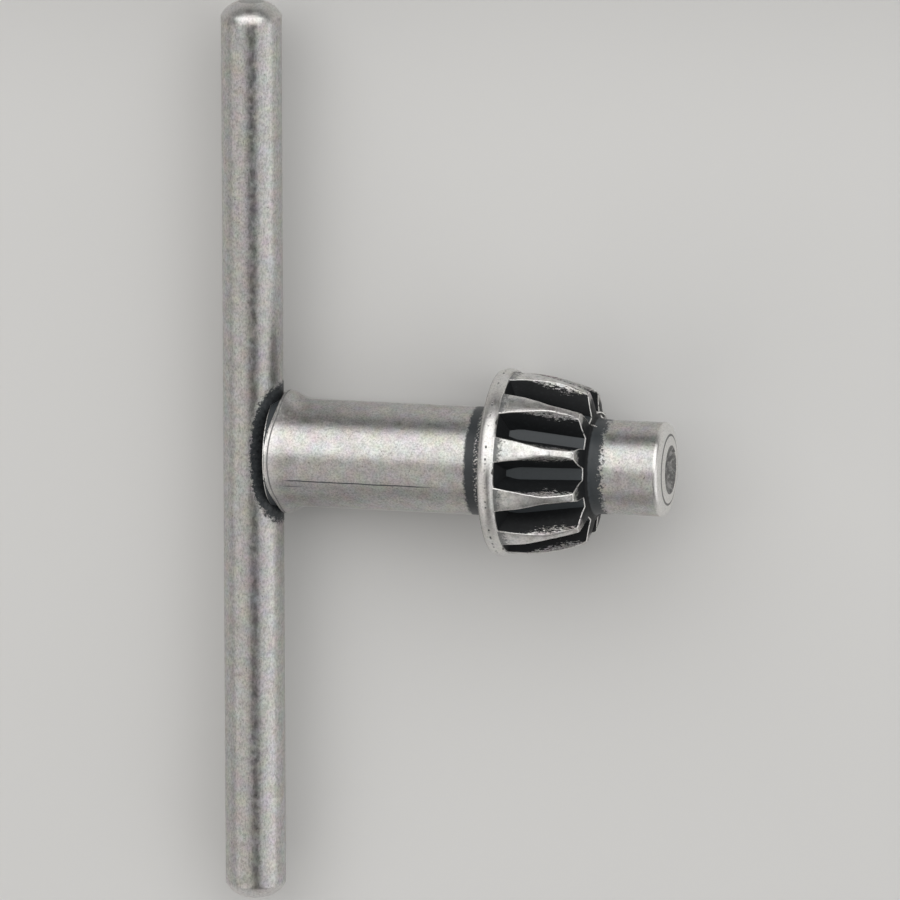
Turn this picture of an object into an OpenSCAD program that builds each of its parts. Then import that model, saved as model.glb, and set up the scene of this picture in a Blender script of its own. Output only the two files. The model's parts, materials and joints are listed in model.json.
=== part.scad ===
// Drill chuck key: a round handle bar welded across the end of a turned key body
// that carries a rim, a tapered pinion with crowned teeth and a pilot pin.
// The key lies at rest: the bar runs level along Y, and the body points to +X,
// rising a little, because it lies on the lip of its flare and on its larger rim.

/* [Handle bar] */
// Length of the handle bar, end to end
bar_length = 60; // [50:1:80]
// Diameter of the handle bar
bar_d = 4; // [3.4:0.1:4.6]
// Diameter of the small flat face left at each end of the bar
bar_face_d = 1.45; // [0.9:0.05:2]
// Length over which each end of the bar rounds down to its face
bar_round = 0.95; // [0.6:0.05:1.4]
// How far that rounding bulges past a straight chamfer
bar_bulge = 0.17; // [0.05:0.01:0.22]

/* [Shank] */
// Diameter of the shank
shank_d = 7.1; // [6.6:0.1:7.5]
// Distance from the axis of the bar to the rear face of the rim
rim_reach = 16.55; // [13:0.05:22]
// Depth to which the bar is sunk into the end of the shank
weld_depth = 0.5; // [0.3:0.05:0.8]
// Diameter of the upset end at the weld
flare_d = 8.1; // [7.8:0.1:8.8]
// Length of the upset end at its full diameter
flare_land = 0.65; // [0.3:0.05:1]
// Length over which the upset end blends into the shank
flare_blend = 1.5; // [0.8:0.1:2.5]
// Length of the chamfer on the lip of the upset end
lip_length = 0.15; // [0.05:0.05:0.3]
// Height of the chamfer on the lip of the upset end
lip_height = 0.1; // [0.05:0.05:0.2]
// How far the lip falls back where it passes beside the bar
saddle_drop = 0.7; // [0.3:0.05:0.9]
// Diameter of the weld inside the lip
weld_d = 7.2; // [6.6:0.1:7.4]

/* [Rim] */
// Width of the rim behind the pinion
rim_width = 1.05; // [0.9:0.05:1.8]
// Height of the rim's crown above the pinion
rim_rise = 0.19; // [0.1:0.01:0.3]
// Fillet between the shank and the rear face of the rim
rim_fillet = 0.3; // [0.1:0.05:0.6]

/* [Pinion] */
// Number of teeth
teeth = 11; // [9:1:12]
// Largest diameter over the teeth
pinion_d = 11.92; // [11.4:0.02:12.6]
// Length of the pinion in front of the rim
pinion_length = 5.5; // [5:0.1:6]
// Length of the crest that stays straight next to the rim
crest_straight = 0.7; // [0.2:0.05:1]
// Radius of the curve along which the crest falls towards the front
crest_curve = 10.8; // [9:0.1:16]
// Radius of the corner between the crest and the front face
crest_corner = 0.2; // [0.1:0.05:0.45]
// How far the front face slopes back towards its outer edge
front_set = 0.3; // [0.1:0.05:0.5]
// Turn of the first tooth from straight up, towards -Y
tooth_turn = 13; // [0:1:32]

/* [Tooth gap] */
// Width of the floor of a gap
floor_w = 0.8; // [0.6:0.05:1]
// Diameter across the floor at its rear end
floor_d = 9.3; // [9:0.1:9.8]
// Angle at which the floor falls towards the front
floor_slope = 12.5; // [8:0.5:13]
// Angle of the flank from the radial direction at the floor
flank_angle = 14; // [8:1:20]
// Growth of the flank's opening with the square of its height
flank_curve = 0.32; // [0.2:0.01:0.36]
// Width of the rear wall at the floor
wall_w = 0.4; // [0.3:0.05:0.5]
// Lean of the rear wall from the radial direction
wall_lean = 25; // [15:1:30]
// Angle at which the rear wall widens towards the crest
wall_draft = 31; // [25:1:33]
// Length of the slanting corner beside the rear wall
corner_length = 0.55; // [0.3:0.05:0.9]
// How much narrower the floor is at that corner, on each side
corner_step = 0.05; // [0.02:0.01:0.15]
// Angle at which the corner widens towards the crest
corner_draft = 28; // [22:0.5:29]
// Distance from that corner to the fully open flank, at the floor
mouth_length = 0.4; // [0.2:0.05:0.8]
// Lean at which the fully open flank starts farther forward towards the crest
mouth_lean = 48; // [35:1:55]

/* [Pilot] */
// Diameter at which the front face of the pinion turns into the root of the pilot
root_d = 7; // [6.8:0.05:7.1]
// Length of the hollow root that runs down to the pilot
root_length = 0.5; // [0.3:0.05:0.8]
// Diameter of the pilot
pilot_d = 6.2; // [5.6:0.05:6.6]
// Distance from the front of the pinion to the end of the pilot
pilot_reach = 5.05; // [4:0.05:8]
// Length of the rounding at the tip of the pilot
tip_length = 0.35; // [0.2:0.05:0.8]
// Height of the rounding at the tip of the pilot
tip_height = 0.35; // [0.1:0.05:0.6]
// How far that rounding bulges past a straight chamfer
tip_bulge = 0.1; // [0.02:0.01:0.12]
// Rise of the end from that rounding to the rim of the hollow
end_rise = 0.2; // [0.1:0.05:0.4]
// Diameter of the hollow in the end of the pilot
hollow_d = 3.3; // [2:0.1:4]
// Depth of the hollow in the end of the pilot
hollow_depth = 0.7; // [0.3:0.05:1.2]
// How far the wall of the hollow bellies out past a straight cone
hollow_belly = 0.12; // [0.02:0.02:0.2]

/* [Hidden] */
$fn = 96;
steps = 10;
past = 0.6;

bar_r = bar_d / 2;
shank_r = shank_d / 2;
flare_r = flare_d / 2;
pinion_r = pinion_d / 2;
floor_r = floor_d / 2;
weld_r = weld_d / 2;
root_r = root_d / 2;
pilot_r = pilot_d / 2;
hollow_r = hollow_d / 2;

// Stations along the body, measured from the axis of the bar
weld_z = bar_r - weld_depth;
lip_z = weld_z + lip_length;
blend_z = lip_z + flare_land;

// The lip is cut back by a large cylinder parallel to the bar
saddle_r = (pow(flare_r, 2) + pow(saddle_drop, 2)) / (2 * saddle_drop);
saddle_z = weld_z + saddle_drop - saddle_r;

// Stations of the rim, the pinion and the pilot
rim_front = rim_reach + rim_width;
crest_z = rim_front + crest_straight;
pinion_front = rim_front + pinion_length;
pilot_end = pinion_front + pilot_reach;
tip_end = pilot_end - end_rise;

// The crown of the rim is an arc that rises from the pinion's own diameter
crown_r = (pow(rim_width / 2, 2) + pow(rim_rise, 2)) / (2 * rim_rise);
crown_z = rim_reach + rim_width / 2;
crown_centre = pinion_r + rim_rise - crown_r;

// The corner between the crest and the front face is an arc inside the curve of the crest
crest_centre = [pinion_r - crest_curve, crest_z];
corner_z = pinion_front - front_set - crest_corner;
corner_angle = asin((corner_z - crest_z) / (crest_curve - crest_corner));
corner_centre = crest_centre + (crest_curve - crest_corner) * [cos(corner_angle), sin(corner_angle)];
front_angle = 90 - atan2(front_set, corner_centre[0] - root_r);

// The body leans so that the lip of the flare and the crown of the rim both touch the ground
lip_to_crown = [crown_z - lip_z, crown_centre - flare_r];
lie_angle = atan2(lip_to_crown[1], lip_to_crown[0]) + asin(crown_r / norm(lip_to_crown));
lie_height = flare_r * cos(lie_angle) - lip_z * sin(lie_angle);
tip_x = max(pilot_end * cos(lie_angle) + hollow_r * sin(lie_angle),
    tip_end * cos(lie_angle) + (pilot_r - tip_height) * sin(lie_angle));
mid_x = (tip_x - bar_r) / 2;

// The rear wall of a gap meets the front edge of the rim at the crest
gap_start = rim_front + (pinion_r - floor_r) * tan(wall_lean);
gap_length = (pinion_front + past - gap_start) / cos(floor_slope);
gap_height = pinion_r + rim_rise - floor_r + past;

// Points of an arc about a centre, from one angle to another
function arc(centre, r, from, to) =
    [for (i = [0:steps]) let (a = from + (to - from) * i / steps) centre + r * [cos(a), sin(a)]];

// The points of a line that goes on from another one's last point
function after_first(points) = [for (i = [1:len(points) - 1]) points[i]];

// Points of a shallow bow from one point to another, bulging to the right of the way
function bow(from, to, bulge) =
    let (way = to - from, side = [way[1], -way[0]] / norm(way))
    [for (i = [0:steps]) let (t = i / steps) from + way * t + side * 4 * bulge * t * (1 - t)];

// Outline of the flare, falling from the upset end to the shank in one smooth wave
flare_outline = [for (i = [0:steps])
    [shank_r + (flare_r - shank_r) * (1 + cos(180 * i / steps)) / 2, blend_z + flare_blend * i / steps]];

// Half section of the key body: radius and distance from the axis of the bar
body_outline = concat(
    [[0, weld_z], [flare_r - lip_height, weld_z], [flare_r, lip_z]],
    flare_outline,
    arc([shank_r + rim_fillet, rim_reach - rim_fillet], rim_fillet, 180, 90),
    arc([crown_centre, crown_z], crown_r, -crown_angle(), crown_angle()),
    arc(crest_centre, crest_curve, 0, corner_angle),
    after_first(arc(corner_centre, crest_corner, corner_angle, front_angle)),
    [for (i = [0:steps]) let (a = 90 * i / steps)
        [root_r - (root_r - pilot_r) * sin(a), pinion_front + root_length * (1 - cos(a))]],
    bow([pilot_r, tip_end - tip_length], [pilot_r - tip_height, tip_end], tip_bulge),
    bow([hollow_r, pilot_end], [0, pilot_end - hollow_depth], -hollow_belly)
);

// Half the angle that the crown of the rim spans
function crown_angle() = asin(rim_width / 2 / crown_r);

// Lays a shape that stands on the axis of the bar down on the ground
module lay_down() {
    translate([-mid_x, 0, lie_height])
        rotate([0, 90 - lie_angle, 0])
            children();
}

// Half the width of the open part of a gap at a height above its floor: the flanks are convex
function half_gap(h) = floor_w / 2 + h * tan(flank_angle) + flank_curve * h * h;

// A point of a gap: distance along its floor, distance to the side, height above the floor
function gap_point(along, side, h) = [
    floor_r - along * sin(floor_slope) + h * cos(floor_slope),
    -side,
    gap_start + along * cos(floor_slope) + h * sin(floor_slope)];

// Outline of a gap at a height: open at the front, narrowing by two steps to the wall at the rear
function gap_ring(h) =
    let (w = half_gap(h),
         mouth = corner_length + mouth_length + h * tan(mouth_lean),
         corner = floor_w / 2 - corner_step + h * tan(corner_draft),
         back = -h * tan(wall_lean + floor_slope),
         wall = wall_w / 2 + h * tan(wall_draft),
         side = [[gap_length, w], [mouth, w], [corner_length, corner], [back, wall]])
    [for (p = side) gap_point(p[0], p[1], h),
     for (i = [len(side) - 1:-1:0]) gap_point(side[i][0], -side[i][1], h)];

// The space between two teeth, as rings joined from the floor upwards
module tooth_gap() {
    levels = 6;
    sides = len(gap_ring(0));
    points = [for (i = [0:levels]) each gap_ring(gap_height * i / levels)];
    walls = [for (i = [0:levels - 1], j = [0:sides - 1]) let (k = (j + 1) % sides)
        each [[i * sides + j, (i + 1) * sides + j, (i + 1) * sides + k],
              [i * sides + j, (i + 1) * sides + k, i * sides + k]]];
    floor_face = [[for (j = [0:sides - 1]) j]];
    top_face = [[for (j = [sides - 1:-1:0]) levels * sides + j]];
    polyhedron(points, concat(walls, floor_face, top_face));
}

// The space in front of the lip, around the weld
module saddle_cut() {
    difference() {
        translate([0, 0, saddle_z])
            rotate([90, 0, 0])
                cylinder(h = flare_d + 2, r = saddle_r, center = true);
        cylinder(h = flare_d, r = weld_r, center = true);
    }
}

// A round bar with bulging chamfers that leave a small face at each end
module handle_bar() {
    half = bar_length / 2;
    end_outline = bow([bar_r, half - bar_round], [bar_face_d / 2, half], bar_bulge);
    foot_outline = [for (i = [len(end_outline) - 1:-1:0]) [end_outline[i][0], -end_outline[i][1]]];
    color("silver")
        lay_down()
            rotate([90, 0, 0])
                rotate_extrude()
                    polygon(concat([[0, -half]], foot_outline, end_outline, [[0, half]]));
}

// One turned piece from the weld to the tip, with the gaps of the pinion cut into it
module key_body() {
    color("lightsteelblue")
        lay_down()
            difference() {
                rotate_extrude()
                    polygon(body_outline);
                for (i = [0:teeth - 1])
                    rotate([0, 0, 180 + tooth_turn + (i + 0.5) * 360 / teeth])
                        tooth_gap();
                saddle_cut();
                rotate([90, 0, 0])
                    cylinder(h = flare_d + 2, r = bar_r, center = true);
            }
}

handle_bar();
key_body();
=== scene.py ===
import json
import math

import bpy
import bmesh
from mathutils import Matrix, Vector


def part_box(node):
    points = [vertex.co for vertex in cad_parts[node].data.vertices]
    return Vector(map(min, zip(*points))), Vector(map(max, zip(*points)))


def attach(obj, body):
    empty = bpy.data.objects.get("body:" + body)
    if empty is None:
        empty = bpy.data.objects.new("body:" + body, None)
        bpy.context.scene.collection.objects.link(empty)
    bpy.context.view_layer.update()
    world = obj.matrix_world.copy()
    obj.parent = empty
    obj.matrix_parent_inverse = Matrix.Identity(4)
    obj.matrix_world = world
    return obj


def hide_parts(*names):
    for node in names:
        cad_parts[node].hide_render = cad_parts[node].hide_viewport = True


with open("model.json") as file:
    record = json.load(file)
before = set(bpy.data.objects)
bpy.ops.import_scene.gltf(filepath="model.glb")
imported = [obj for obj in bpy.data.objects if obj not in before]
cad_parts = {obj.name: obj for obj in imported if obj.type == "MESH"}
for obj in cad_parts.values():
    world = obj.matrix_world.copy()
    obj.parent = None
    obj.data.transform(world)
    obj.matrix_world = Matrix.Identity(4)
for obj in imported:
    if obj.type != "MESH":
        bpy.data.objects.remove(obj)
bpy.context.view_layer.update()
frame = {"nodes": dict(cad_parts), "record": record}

mm = 0.001
barLow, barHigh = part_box("handle_bar")
crossing = (barLow + barHigh) / 2                  # where the bar's axis meets the key's axis
pilotMount = [m for m in frame["record"]["mounts"] if m["name"] == "pilot"][0]
keyAxis = Vector(pilotMount["axis"]).normalized()
barAxis = Vector((0, 1, 0))
upFromKey = keyAxis.cross(barAxis)
lieAngle = math.atan2(keyAxis.z, keyAxis.x)
print("frame loaded, key axis rises", round(math.degrees(lieAngle), 2), "degrees")


# camera: a long lens almost straight above, leaning towards the tip and the bar's top end
cameraSetup = {
    "distance": 1.51,              # metres to the key
    "towardsTip": 14.0,            # how far the key points at the lens, degrees
    "towardsBarEnd": 12.0,         # how far the bar's top end leans at the lens
    "roll": 0.21,
    "pixelsPerMm": 15.244,
    "crossingPixel": (253.6, 449.7),
    "pictureWidth": 900,
    "sensor": 36.0,
}


def cameraAxes(setup):
    alongKey = math.sin(math.radians(setup["towardsTip"])) * math.cos(math.radians(setup["towardsBarEnd"]))
    alongBar = math.sin(math.radians(setup["towardsBarEnd"]))
    back = alongKey * keyAxis + alongBar * barAxis
    back += math.sqrt(1 - alongKey ** 2 - alongBar ** 2) * upFromKey
    right = barAxis.cross(back).normalized()
    right.rotate(Matrix.Rotation(-math.radians(setup["roll"]), 3, back))
    return right, back.cross(right), back


def makeCamera(setup):
    right, up, back = cameraAxes(setup)
    scale = setup["pixelsPerMm"] / mm
    half = setup["pictureWidth"] / 2
    column, row = setup["crossingPixel"]
    aim = crossing + right * (half - column) / scale + up * (row - half) / scale
    data = bpy.data.cameras.new("camera")
    data.sensor_width = setup["sensor"]
    data.lens = scale * setup["distance"] * setup["sensor"] / setup["pictureWidth"]
    data.clip_end = 10
    camera = bpy.data.objects.new("camera", data)
    bpy.context.scene.collection.objects.link(camera)
    turn = Matrix((right, up, back)).transposed().to_4x4()
    camera.matrix_world = Matrix.Translation(aim + back * setup["distance"]) @ turn
    bpy.context.scene.camera = camera


makeCamera(cameraSetup)
print("camera set")


# light: softboxes round the key with a dark gap overhead, where the lens looks down
lightSetup = {
    "overhead": 0.035,              # what the key sees between the boxes
    "horizon": 0.44,               # the walls of the tent near the table
    "behind": 0.05,                # share of that on the side of the bar's top end
    "boxes": [
        # name, degrees right and up from the lens as it sees them, distance, width, height, watts, warmth
        ("leftBox", -50, -31, 0.7, 0.79, 0.75, 1.24, 0.07),
        ("rightBox", 53.5, -24, 0.7, 0.80, 0.83, 1.62, 0.0),
        ("farBox", -6, 26, 0.7, 1.50, 0.85, 6.1, 0.02),
    ],
}


def makeLights(setup):
    right, up, back = cameraAxes(cameraSetup)
    for name, across, above, distance, width, height, watts, warmth in setup["boxes"]:
        data = bpy.data.lights.new(name, "AREA")
        data.shape = "RECTANGLE"
        data.size = width
        data.size_y = height
        data.energy = watts
        data.color = (1, 1 - warmth / 2, 1 - warmth)
        lamp = bpy.data.objects.new(name, data)
        bpy.context.scene.collection.objects.link(lamp)
        a, e = math.radians(across), math.radians(above)
        way = right * math.sin(a) * math.cos(e) + up * math.sin(e) + back * math.cos(a) * math.cos(e)
        lamp.location = way * distance
        lamp.rotation_euler = way.to_track_quat("Z", "Y").to_euler()
    world = bpy.data.worlds.new("tent")
    bpy.context.scene.world = world
    world.use_nodes = True
    tree = world.node_tree
    way = addNode(tree, "SeparateXYZ", {0: addNode(tree, "TexCoord").outputs["Generated"]}).outputs
    wall = calc(tree, "MULTIPLY", step(tree, way[2], 0.75, 0.1, 0, setup["horizon"] - setup["overhead"]),
                step(tree, way[1], 0.2, 0.7, 1, setup["behind"]))
    tree.nodes["Background"].inputs["Color"].default_value = (1, 0.98, 0.96, 1)
    tree.links.new(calc(tree, "ADD", wall, setup["overhead"]), tree.nodes["Background"].inputs["Strength"])


# nodes: short helpers, so that each finish below reads as a list of what it is made of
def addNode(tree, kind, inputs=None, **settings):
    node = tree.nodes.new("ShaderNode" + kind)
    for name, value in settings.items():
        setattr(node, name, value)
    for slot, value in (inputs or {}).items():
        if isinstance(value, bpy.types.NodeSocket):
            tree.links.new(value, node.inputs[slot])
        else:
            node.inputs[slot].default_value = value
    return node


def calc(tree, operation, *values):
    return addNode(tree, "Math", dict(enumerate(values)), operation=operation).outputs[0]


def step(tree, value, start, end, low=0.0, high=1.0):
    inputs = {"Value": value, "From Min": start, "From Max": end, "To Min": low, "To Max": high}
    return addNode(tree, "MapRange", inputs, interpolation_type="SMOOTHSTEP").outputs["Result"]


def noise(tree, place, scale, detail=2.0, roughness=0.5, output="Fac"):
    inputs = {"Vector": place, "Scale": scale, "Detail": detail, "Roughness": roughness}
    return addNode(tree, "TexNoise", inputs).outputs[output]


def stretch(tree, place, scale):
    return addNode(tree, "VectorMath", {0: place, 1: scale}, operation="MULTIPLY").outputs[0]


def blend(tree, fac, one, two, blendType="MIX"):
    node = addNode(tree, "Mix", data_type="RGBA", blend_type=blendType)
    for slot, value in ((0, fac), (6, one), (7, two)):
        if isinstance(value, bpy.types.NodeSocket):
            tree.links.new(value, node.inputs[slot])
        else:
            node.inputs[slot].default_value = value
    return node.outputs[2]


def newMaterial(name):
    material = bpy.data.materials.new(name)
    material.use_nodes = True
    return material, material.node_tree, material.node_tree.nodes["Principled BSDF"]


makeLights(lightSetup)
bpy.context.scene.view_settings.view_transform = "Standard"
print("lights set")


# places on the key in millimetres: x along the key from the bar's axis, y along the bar, z up from both
def keyPlaces(tree):
    coords = addNode(tree, "TexCoord").outputs["Object"]
    inputs = {"Vector": coords, "Location": crossing, "Rotation": (0, -lieAngle, 0), "Scale": (mm, mm, mm)}
    place = addNode(tree, "Mapping", inputs, vector_type="TEXTURE").outputs[0]
    parts = addNode(tree, "SeparateXYZ", {0: place}).outputs
    return place, parts[0], parts[1], parts[2]


# a pale sheet that turns darker far behind the bar's top end
floorSetup = {
    "pale": (0.70, 0.70, 0.69, 1),
    "dark": (0.12, 0.12, 0.12, 1),
    "paleTo": 0.018,
    "darkFrom": 0.075,
}


def makeFloor(setup):
    mesh = bpy.data.meshes.new("floor")
    bm = bmesh.new()
    bmesh.ops.create_grid(bm, x_segments=1, y_segments=1, size=0.6)
    bm.to_mesh(mesh)
    bm.free()
    floor = bpy.data.objects.new("floor", mesh)
    bpy.context.scene.collection.objects.link(floor)
    material, tree, shader = newMaterial("paleFloor")
    along = addNode(tree, "SeparateXYZ", {0: addNode(tree, "TexCoord").outputs["Object"]}).outputs[1]
    far = step(tree, along, setup["paleTo"], setup["darkFrom"])
    tree.links.new(blend(tree, far, setup["pale"], setup["dark"]), shader.inputs["Base Color"])
    shader.inputs["Roughness"].default_value = 0.8
    mesh.materials.append(material)


makeFloor(floorSetup)
print("floor laid")


# steel: bright, tumbled in a barrel after hardening, so it is satin, mottled and faintly tinted
steelSetup = {
    "colour": (0.62, 0.61, 0.595, 1),
    # colour of rubbed steel, and also of the painted sheen where the steel turns away from the lens
    "polishAndSheenColour": (0.86, 0.85, 0.83, 1),
    "roughness": 0.33,
    "roughnessSpread": 0.10,
    "tint": 0.25,                  # strength of the faint colour patches
    "mottle": 0.10,                # how much darker the soft patches get
    "grainShade": 0.37,            # how much darker the fine grain gets
    "specks": 0.45,                # how dark the fine specks get
    "grain": 0.009,                # mm, height of the fine grain
    "dimple": 0.006,               # mm, height of the soft unevenness
}

# oxide: the dark heat-treatment skin that tumbling left in the recesses; the same colours also paint shade in the weld
# gap, on a groove line at the pilot's end and on the bar's end faces
oxideAndShadeSetup = {
    "dark": (0.013, 0.014, 0.015, 1),
    "slate": (0.043, 0.050, 0.055, 1),
    "roughness": 0.42,
    "darkGloss": 0.12,             # specular level of the blackest and of the slate parts
    "slateGloss": 0.45,
}


def steelOverOxideAndShade(tree, shader, place, bare, slate, polish, grainStretch=(1, 1, 1), dimple=steelSetup["dimple"]):
    # bare is 1 where the steel is bright and 0 where the dark oxide, and the painted shade drawn with it, is whole
    # slate is 1 where the oxide is palest, polish is 1 where rubbing made the steel brightest
    steel, oxideAndShade = steelSetup, oxideAndShadeSetup
    mottle = step(tree, noise(tree, place, 1.4, 3), 0.35, 0.65, 1 - steel["mottle"], 1)
    grainPlace = stretch(tree, place, grainStretch)
    fine = noise(tree, grainPlace, 8, 3, 0.7)
    grainShade = step(tree, fine, 0.30, 0.62, 1 - steel["grainShade"], 1)
    specks = step(tree, noise(tree, place, 6, 2, 0.6), 0.26, 0.36, 1 - steel["specks"], 1)
    shade = calc(tree, "MULTIPLY", calc(tree, "MULTIPLY", mottle, specks), grainShade)
    hue = noise(tree, place, 1.1, 3, 0.6, "Color")
    tinted = blend(tree, steel["tint"], steel["colour"], hue, "OVERLAY")
    steelColour = blend(tree, 1.0, tinted, addNode(tree, "CombineColor", {0: shade, 1: shade, 2: shade}).outputs[0],
                        "MULTIPLY")
    cloud = calc(tree, "MULTIPLY_ADD", calc(tree, "SUBTRACT", noise(tree, place, 4, 3, 0.6), 0.5), 0.9, slate)
    cloud = step(tree, cloud, 0.0, 1.0)
    oxideColour = blend(tree, cloud, oxideAndShade["dark"], oxideAndShade["slate"])
    gloss = step(tree, cloud, 0, 1, oxideAndShade["darkGloss"], oxideAndShade["slateGloss"])
    gloss = calc(tree, "MAXIMUM", gloss, calc(tree, "MULTIPLY", bare, 0.5))
    tree.links.new(gloss, shader.inputs["Specular IOR Level"])
    # painted sheen: where the surface turns away from the lens the steel takes the polish colour, as well as where
    # polish marks it as rubbed
    glance = addNode(tree, "LayerWeight", {"Blend": 0.5}).outputs["Facing"]
    rubbedAndPaintedSheen = calc(tree, "MAXIMUM", step(tree, glance, 0.80, 1.0), polish)
    steelColour = blend(tree, rubbedAndPaintedSheen, steelColour, blend(tree, grainShade, steelColour, steel["polishAndSheenColour"]))
    colour = blend(tree, bare, oxideColour, steelColour)
    tree.links.new(colour, shader.inputs["Base Color"])
    tree.links.new(bare, shader.inputs["Metallic"])
    steelRough = step(tree, noise(tree, place, 2.4, 3), 0.3, 0.7, steel["roughness"] - steel["roughnessSpread"] / 2,
                      steel["roughness"] + steel["roughnessSpread"] / 2)
    rough = addNode(tree, "Mix", {0: bare, 2: oxideAndShade["roughness"], 3: steelRough}, data_type="FLOAT").outputs[0]
    tree.links.new(rough, shader.inputs["Roughness"])
    dimple = addNode(tree, "Bump", {"Height": noise(tree, place, 1.3, 2), "Distance": dimple * mm})
    grain = addNode(tree, "Bump", {"Height": fine, "Distance": steel["grain"] * mm, "Normal": dimple.outputs[0]})
    ledge = addNode(tree, "Bump", {"Height": bare, "Distance": 0.01 * mm, "Normal": grain.outputs[0]})
    tree.links.new(ledge.outputs[0], shader.inputs["Normal"])


# the key body: all stations in millimetres from the bar's axis, along the key
bodySetup = {
    "tiny": 0.04,                  # mm, shorter edges are closed up
    "flat": 1.0,                   # degrees between faces that become one
    "sharp": 28.0,                 # degrees above which an edge is softened
    "softening": 0.05,             # mm
    "shankRadius": 3.55,
    "flareEnd": 5.0,
    "flareKept": 0.1,              # share of the flare left on the side that faces up
    "creased": 40.0,               # degrees above which an edge stays sharp in the shading
    "crestRadius": 5.96,
    "crestStart": 18.3,
    "crestCurve": 10.8,
    "rimRear": 16.55,
    "rimFront": 17.6,
    "pinionFront": 23.1,
    "frontRoot": 3.5,              # radius at the foot of the front face
    "frontSet": 0.18,              # mm that the front face falls back for each mm outwards
    "neckOxide": 24.15,             # ragged end of the oxide on the pilot
    "shankOxide": 15.05,           # ragged start of the oxide behind the rim
    "pitStation": 17.12,           # middle of the row of pits round the rim
    "endStation": 27.9,
    "hollowRadius": 1.62,
    "endRing": 2.28,
    "saddleRadius": 12.066,
    "saddleCentre": -9.866,
    "lipLine": 0.17,               # dark line of the lip, mm from its edge
    # degrees from straight up towards -Y, first and last place, half of the width in radians
    "scratches": [(20.4, 3.0, 12.6, 0.017), (27.6, 2.9, 3.9, 0.012)],
}


# the weld pushed the end of the shank outwards only beside the bar, not on the side that faces up
def flattenFlare(bm, setup):
    for vert in bm.verts:
        place = vert.co - crossing
        x, y, z = place.dot(keyAxis) / mm, place.dot(barAxis) / mm, place.dot(upFromKey) / mm
        r = math.hypot(y, z)
        if x < setup["flareEnd"] and r > setup["shankRadius"] and z > 0:
            t = min(max((z / r - 0.1) / 0.6, 0), 1)
            kept = 1 - (1 - setup["flareKept"]) * t * t * (3 - 2 * t)
            share = (setup["shankRadius"] + (r - setup["shankRadius"]) * kept) / r - 1
            vert.co += (barAxis * y + upFromKey * z) * share * mm


def softenedCopy(node, name, setup):
    mesh = bpy.data.meshes.new(name)
    bm = bmesh.new()
    bm.from_mesh(frame["nodes"][node].data)
    worn = bm.faces.layers.float.new("worn")
    bmesh.ops.remove_doubles(bm, verts=bm.verts, dist=0.002 * mm)
    bmesh.ops.dissolve_degenerate(bm, dist=setup["tiny"] * mm, edges=bm.edges)
    bmesh.ops.dissolve_limit(bm, angle_limit=math.radians(setup["flat"]), verts=bm.verts,
                             edges=bm.edges, use_dissolve_boundaries=False)
    sharp = [e for e in bm.edges if e.calc_face_angle(0) > math.radians(setup["sharp"]) and e.is_convex]
    made = bmesh.ops.bevel(bm, geom=sharp, offset=setup["softening"] * mm, offset_type="OFFSET", affect="EDGES",
                           segments=2, profile=0.5, material=-1, clamp_overlap=False)
    for face in made["faces"]:
        face[worn] = 1
    flattenFlare(bm, setup)
    bmesh.ops.recalc_face_normals(bm, faces=bm.faces)
    for face in bm.faces:
        face.smooth = True
    for edge in bm.edges:
        edge.smooth = edge.calc_face_angle(0) < math.radians(setup["creased"])
    bm.to_mesh(mesh)
    bm.free()
    piece = bpy.data.objects.new(name, mesh)
    bpy.context.scene.collection.objects.link(piece)
    faces = piece.modifiers.new("faces", "WEIGHTED_NORMAL")
    faces.keep_sharp = True
    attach(piece, "root")
    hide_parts(node)
    return piece


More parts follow.
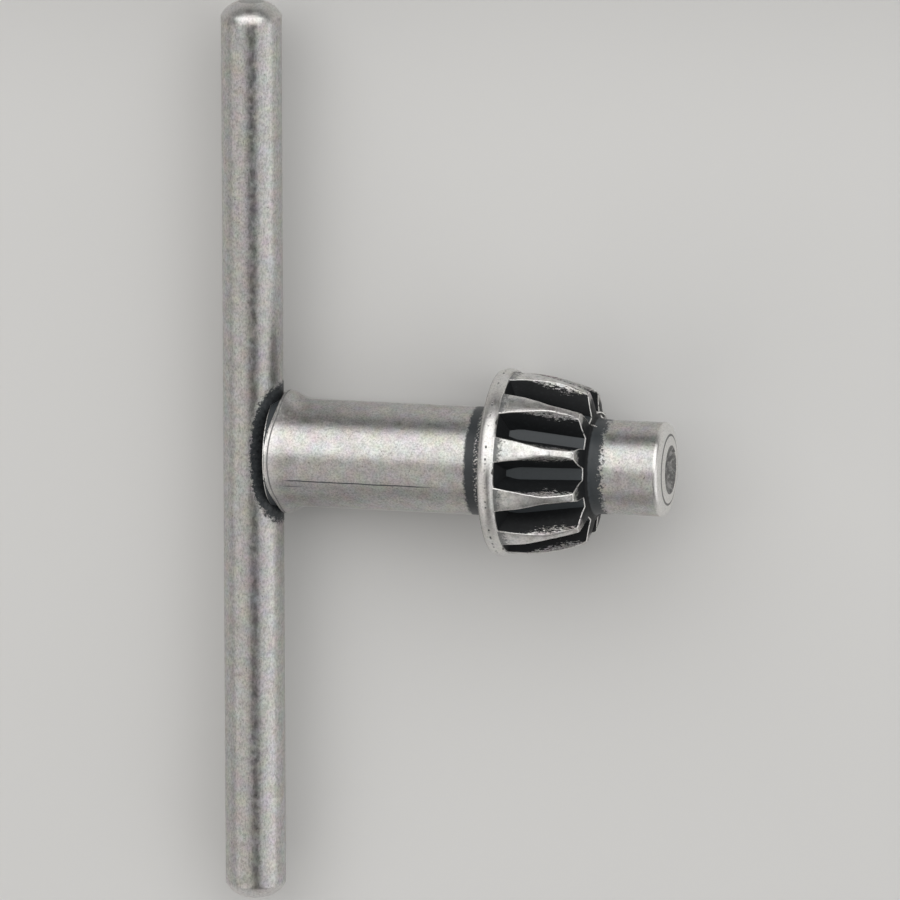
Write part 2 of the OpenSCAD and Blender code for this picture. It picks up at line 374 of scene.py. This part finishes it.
def bodyFinish(setup):
    material, tree, shader = newMaterial("tumbledBodySteel")
    place, x, y, z = keyPlaces(tree)
    r = calc(tree, "SQRT", calc(tree, "ADD", calc(tree, "MULTIPLY", y, y), calc(tree, "MULTIPLY", z, z)))
    ragged = calc(tree, "SUBTRACT", noise(tree, place, 3.0, 4, 0.6), 0.5)
    xRagged = calc(tree, "MULTIPLY_ADD", ragged, 0.9, x)
    xSpeckled = calc(tree, "MULTIPLY_ADD", calc(tree, "SUBTRACT", noise(tree, place, 7, 3, 0.7), 0.5), 1.3, xRagged)
    fallen = calc(tree, "MAXIMUM", calc(tree, "SUBTRACT", x, setup["crestStart"]), 0)
    crest = calc(tree, "SUBTRACT", setup["crestRadius"],
                 calc(tree, "DIVIDE", calc(tree, "MULTIPLY", fallen, fallen), 2 * setup["crestCurve"]))
    depth = calc(tree, "SUBTRACT", crest, r)
    inPinion = calc(tree, "MULTIPLY", step(tree, x, setup["rimFront"] - 0.02, setup["rimFront"] + 0.02),
                    step(tree, x, setup["pinionFront"] + 0.6, setup["pinionFront"] + 0.5))
    # tooth gaps, with worn specks in a band below the crests that is widest half way along
    middle = (setup["rimFront"] + setup["pinionFront"]) / 2 + 0.6
    bandWidth = step(tree, calc(tree, "ABSOLUTE", calc(tree, "SUBTRACT", x, middle)), 2.4, 0.2, 0.10, 0.70)
    streaks = noise(tree, stretch(tree, place, (0.28, 1, 1)), 11, 4, 0.7)
    rub = calc(tree, "SUBTRACT", calc(tree, "DIVIDE", depth, bandWidth), calc(tree, "MULTIPLY_ADD", streaks, 3.2, -1.6))
    gap = calc(tree, "MULTIPLY", step(tree, depth, 0.03, 0.09), step(tree, rub, 0.15, 0.6))
    normal = addNode(tree, "Mapping", {"Vector": addNode(tree, "TexCoord").outputs["Normal"],
                                       "Rotation": (0, -lieAngle, 0)}, vector_type="TEXTURE").outputs[0]
    # the outer part of the front face is rubbed bright too
    rRagged = calc(tree, "MULTIPLY_ADD", ragged, 1.2, r)
    rubbedFace = calc(tree, "MULTIPLY", step(tree, x, setup["pinionFront"] - 0.7, setup["pinionFront"] - 0.5),
                      step(tree, addNode(tree, "SeparateXYZ", {0: normal}).outputs[0], 0.6, 0.8))
    rubbedFace = calc(tree, "MULTIPLY", rubbedFace, step(tree, rRagged, 4.3, 4.8, 0, 0.8))
    gap = calc(tree, "MULTIPLY", gap, calc(tree, "SUBTRACT", 1, rubbedFace))
    # the dark corner of each land beside the rim
    corner = calc(tree, "MULTIPLY", step(tree, xSpeckled, setup["rimFront"] + 0.6, setup["rimFront"] + 0.2), 0.75)
    pinionOxide = calc(tree, "MULTIPLY", inPinion, calc(tree, "MAXIMUM", gap, corner))
    # front face and neck
    front = calc(tree, "ADD", x, calc(tree, "MULTIPLY", calc(tree, "SUBTRACT", r, setup["frontRoot"]), setup["frontSet"]))
    front = calc(tree, "SUBTRACT", front, calc(tree, "MULTIPLY", step(tree, rRagged, 4.3, 4.8), 9))
    frontOxide = calc(tree, "MULTIPLY", step(tree, front, setup["pinionFront"] - 0.08, setup["pinionFront"] - 0.03),
                      step(tree, xSpeckled, setup["neckOxide"] + 0.15, setup["neckOxide"] - 0.15))
    # ring on the shank behind the rim, with bright specks close to it
    xSmooth = calc(tree, "MULTIPLY_ADD", calc(tree, "SUBTRACT", noise(tree, place, 5, 3, 0.6), 0.5), 0.45, x)
    ring = calc(tree, "MULTIPLY", step(tree, xSmooth, setup["shankOxide"] - 0.12, setup["shankOxide"] + 0.12),
                step(tree, x, setup["rimRear"] + 0.12, setup["rimRear"] + 0.02))
    specksHere = calc(tree, "MULTIPLY", step(tree, x, setup["rimRear"] - 0.95, setup["rimRear"] - 0.75),
                      step(tree, x, setup["rimRear"] - 0.3, setup["rimRear"] - 0.5))
    ringSpecks = calc(tree, "MULTIPLY", step(tree, noise(tree, place, 8, 3, 0.6), 0.50, 0.60), specksHere)
    ringOxide = calc(tree, "MULTIPLY", ring, calc(tree, "SUBTRACT", 1, ringSpecks))
    # row of small pits round the rim
    pitPlace = addNode(tree, "CombineXYZ", {0: calc(tree, "MULTIPLY", calc(tree, "ARCTAN2", y, z), 6.0), 1: 0, 2: 0})
    pitNoise = noise(tree, pitPlace.outputs[0], 2.6, 2, 0.7)
    offRow = calc(tree, "ABSOLUTE", calc(tree, "SUBTRACT", x, setup["pitStation"]))
    pits = calc(tree, "MULTIPLY", step(tree, offRow, 0.08, 0.04), step(tree, pitNoise, 0.50, 0.58))
    pits = calc(tree, "MULTIPLY", pits, step(tree, r, 5.9, 6.0))
    pits = calc(tree, "MULTIPLY", pits, step(tree, noise(tree, place, 1.5, 2), 0.38, 0.5))
    # hollow in the end, and the fine dark line round it, which is painted shade standing in for a small groove at the
    # edge of the hollow's countersink
    atEnd = step(tree, x, setup["endStation"] - 0.8, setup["endStation"] - 0.75)
    hollow = calc(tree, "MULTIPLY", atEnd, step(tree, calc(tree, "MULTIPLY_ADD", ragged, 0.2, r),
                                                setup["hollowRadius"] + 0.03, setup["hollowRadius"] - 0.05))
    hollow = calc(tree, "MULTIPLY", hollow, step(tree, noise(tree, place, 3, 4, 0.7), 0.72, 0.38, 0.5, 0.85))
    endRing = step(tree, calc(tree, "ABSOLUTE", calc(tree, "SUBTRACT", r, setup["endRing"])), 0.10, 0.05)
    endRing = calc(tree, "MULTIPLY", calc(tree, "MULTIPLY", atEnd, endRing), 0.8)
    # the seam along the shank and a short scratch beside it near the weld
    sideways = calc(tree, "ARCTAN2", y, z)
    waver = calc(tree, "MULTIPLY_ADD", noise(tree, place, 0.7, 3), 0.03, -0.015)
    seamLine = 0
    for angle, start, end, width in setup["scratches"]:
        off = calc(tree, "ABSOLUTE", calc(tree, "ADD", calc(tree, "ADD", sideways, waver), math.radians(angle)))
        line = calc(tree, "MULTIPLY", step(tree, off, width, width / 2),
                    calc(tree, "MULTIPLY", step(tree, x, start - 0.3, start + 0.3), step(tree, x, end + 1.0, end - 1.0)))
        seamLine = calc(tree, "MAXIMUM", seamLine, line)
    seamLine = calc(tree, "MULTIPLY", seamLine, calc(tree, "MULTIPLY", step(tree, r, 3.4, 3.5), 0.95))
    # the lip at the weld follows the saddle: a dark line between its two bright edges; beyond the lip the weld zone is
    # dark with oxide and with painted shadow of the gap beside the bar
    drop = calc(tree, "SQRT", calc(tree, "SUBTRACT", setup["saddleRadius"] ** 2, calc(tree, "MULTIPLY", z, z)))
    fromLip = calc(tree, "SUBTRACT", x, calc(tree, "ADD", drop, setup["saddleCentre"]))
    lipLine = step(tree, calc(tree, "ABSOLUTE", calc(tree, "SUBTRACT", fromLip, setup["lipLine"])), 0.06, 0.03)
    lip = calc(tree, "MAXIMUM", calc(tree, "MULTIPLY", lipLine, 0.75), step(tree, fromLip, -0.02, -0.06))
    outwards = addNode(tree, "VectorMath", {0: stretch(tree, place, (0, 1, 1))}, operation="NORMALIZE").outputs[0]
    upright = addNode(tree, "VectorMath", {0: normal, 1: outwards}, operation="DOT_PRODUCT").outputs["Value"]
    slate = step(tree, upright, 0.75, 0.95, 0.05, 0.95)
    # oxide of the recesses together with painted shade: the groove line at the pilot's end and the shadow in the weld
    # gap
    oxideAndShade = pinionOxide
    for mask in (frontOxide, ringOxide, pits, hollow, endRing, seamLine, lip):
        oxideAndShade = calc(tree, "MAXIMUM", oxideAndShade, mask)
    worn = addNode(tree, "Attribute", attribute_name="worn").outputs["Fac"]
    edge = calc(tree, "MULTIPLY", step(tree, worn, 0.3, 0.8), step(tree, noise(tree, place, 4, 3), 0.3, 0.45))
    bare = calc(tree, "MAXIMUM", calc(tree, "SUBTRACT", 1, oxideAndShade), edge)
    onCrest = calc(tree, "MULTIPLY", inPinion, step(tree, depth, 0.08, 0.03))
    onRim = calc(tree, "MULTIPLY", step(tree, r, 5.7, 5.9), step(tree, x, setup["rimFront"] + 0.1, setup["rimFront"]))
    onEnd = step(tree, x, setup["endStation"] - 0.35, setup["endStation"] - 0.2)
    onLip = step(tree, fromLip, 1.1, 0.2)
    polish = calc(tree, "MULTIPLY", onCrest, step(tree, noise(tree, place, 1.7, 3), 0.35, 0.6, 0.15, 0.7))
    for mask, share in ((onRim, 0.7), (onEnd, 0.95), (onLip, 0.5), (edge, 0.8)):
        polish = calc(tree, "MAXIMUM", polish, calc(tree, "MULTIPLY", mask, share))
    steelOverOxideAndShade(tree, shader, place, bare, slate, polish)
    return material


# curls of metal that the cutter left on the front of the pinion, points in key millimetres
burrSetup = {
    "thickness": 0.07,             # mm, radius at the middle of a curl
    "sides": 8,
    "curls": {
        "burrHook": [(22.83, 3.02, -0.15), (22.89, 3.24, -0.22), (23.05, 3.46, -0.3), (23.3, 3.53, -0.38),
                     (23.53, 3.45, -0.42), (23.68, 3.29, -0.42), (23.71, 3.12, -0.39)],
        "burrLoop": [(23.34, 3.4, -0.36), (23.38, 3.25, -0.34), (23.5, 3.16, -0.35), (23.64, 3.16, -0.39)],
        "burrHair": [(23.13, 3.12, 1.6), (23.26, 3.05, 1.62), (23.41, 3.05, 1.68), (23.6, 3.02, 1.72)],
    },
}


def burrCurl(setup, name, points, material):
    places = [crossing + (keyAxis * x + barAxis * y + upFromKey * z) * mm for x, y, z in points]
    last = len(places) - 1
    mesh = bpy.data.meshes.new(name)
    bm = bmesh.new()
    rings = []
    for i, here in enumerate(places):
        ahead = places[min(i + 1, last)] - places[max(i - 1, 0)]
        turn = Matrix.Translation(here) @ ahead.to_track_quat("Z", "Y").to_matrix().to_4x4()
        thin = 1 - 0.6 * (2 * i / last - 1) ** 2
        made = bmesh.ops.create_circle(bm, cap_ends=i in (0, last), radius=setup["thickness"] * thin * mm,
                                       segments=setup["sides"], matrix=turn)
        rings.append({edge for vert in made["verts"] for edge in vert.link_edges})
    for one, two in zip(rings, rings[1:]):
        bmesh.ops.bridge_loops(bm, edges=list(one | two))
    bmesh.ops.recalc_face_normals(bm, faces=bm.faces)
    for face in bm.faces:
        face.smooth = True
    bm.to_mesh(mesh)
    bm.free()
    mesh.materials.append(material)
    piece = bpy.data.objects.new(name, mesh)
    bpy.context.scene.collection.objects.link(piece)
    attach(piece, "root")


def burrFinish():
    material, tree, shader = newMaterial("burrSteel")
    place = keyPlaces(tree)[0]
    steelOverOxideAndShade(tree, shader, place, step(tree, noise(tree, place, 6, 2), 0.3, 0.4), 1, 0.6)
    return material


bodySkin = softenedCopy("key_body", "bodySkin", bodySetup)
bodySkin.data.materials.append(bodyFinish(bodySetup))
print("body made,", len(bodySkin.data.polygons), "faces")

burrSteel = burrFinish()
for name, points in burrSetup["curls"].items():
    burrCurl(burrSetup, name, points, burrSteel)
print("burrs made")


# the handle bar: drawn round bar with bulging chamfers
barSetup = {
    "radius": 2.0,
    "half": 30.0,
    "roundLength": 0.95,
    "faceRadius": 0.725,
    "bulge": 0.17,
    "roundSteps": 8,
    "rings": 119,
    "sides": 96,
    "oxideAcross": 81.0,           # degrees round the bar from the key's axis to the edge of the oxide
    "oxideAlong": 4.6,             # mm along the bar to the edge of the oxide
    "oxidePower": 2.5,
    "dimple": 0.0025,              # mm, the drawn bar is smoother than the body
}


def turnedBar(setup, name, node):
    mesh = bpy.data.meshes.new(name)
    bm = bmesh.new()
    start = Vector((setup["radius"], setup["half"] - setup["roundLength"]))
    end = Vector((setup["faceRadius"], setup["half"]))
    side = Vector((end.y - start.y, start.x - end.x)).normalized()
    steps = setup["roundSteps"]
    bow = []
    for i in range(steps + 1):
        t = i / steps
        bow.append(start.lerp(end, t) + side * 4 * setup["bulge"] * t * (1 - t))
    outline = [(0, setup["half"])] + [(p.x, p.y) for p in reversed(bow)]
    outline += [(p.x, -p.y) for p in bow] + [(0, -setup["half"])]
    verts = [bm.verts.new(crossing + Vector((px, py, 0)) * mm) for px, py in outline]
    edges = [bm.edges.new(pair) for pair in zip(verts, verts[1:])]
    longest = max(edges, key=lambda e: e.calc_length())
    bmesh.ops.subdivide_edges(bm, edges=[longest], cuts=setup["rings"])
    bmesh.ops.spin(bm, geom=bm.verts[:] + bm.edges[:], cent=crossing, axis=barAxis, dvec=(0, 0, 0),
                   angle=math.tau, steps=setup["sides"], use_merge=True, use_duplicate=False)
    bmesh.ops.remove_doubles(bm, verts=bm.verts, dist=0.002 * mm)
    bmesh.ops.recalc_face_normals(bm, faces=bm.faces)
    for face in bm.faces:
        face.smooth = True
    bm.to_mesh(mesh)
    bm.free()
    piece = bpy.data.objects.new(name, mesh)
    bpy.context.scene.collection.objects.link(piece)
    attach(piece, "root")
    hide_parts(node)
    return piece


def barFinish(setup):
    material, tree, shader = newMaterial("drawnBarSteel")
    place, x, y, z = keyPlaces(tree)
    ragged = calc(tree, "SUBTRACT", noise(tree, place, 4.5, 5, 0.7), 0.5)
    round_ = calc(tree, "ABSOLUTE", calc(tree, "ARCTAN2", z, x))
    across = calc(tree, "POWER", calc(tree, "DIVIDE", round_, math.radians(setup["oxideAcross"])), setup["oxidePower"])
    along = calc(tree, "POWER", calc(tree, "DIVIDE", calc(tree, "ABSOLUTE", y), setup["oxideAlong"]), setup["oxidePower"])
    # the dark band round the weld is oxide that tumbling left, and beside the lip it is also painted shadow of the
    # joint's gap
    reach = calc(tree, "MULTIPLY_ADD", ragged, 0.9, calc(tree, "ADD", across, along))
    oxideAndShade = step(tree, reach, 1.14, 0.94)
    # painted shade: the bar's end faces are darkened 45 percent of the way towards the oxide colour
    endFaceShade = step(tree, calc(tree, "ABSOLUTE", y), setup["half"] - 0.06, setup["half"] - 0.01)
    bare = calc(tree, "SUBTRACT", 1, calc(tree, "MAXIMUM", oxideAndShade, calc(tree, "MULTIPLY", endFaceShade, 0.45)))
    slate = step(tree, reach, 0.35, 0.9, 0.25, 0.6)
    polish = calc(tree, "MULTIPLY", step(tree, calc(tree, "ABSOLUTE", y), setup["half"] - 1.2, setup["half"] - 0.8), 0.5)
    steelOverOxideAndShade(tree, shader, place, bare, slate, polish, (1, 0.6, 1), setup["dimple"])
    return material


barSkin = turnedBar(barSetup, "barSkin", "handle_bar")
barSkin.data.materials.append(barFinish(barSetup))
print("bar made,", len(barSkin.data.polygons), "faces")
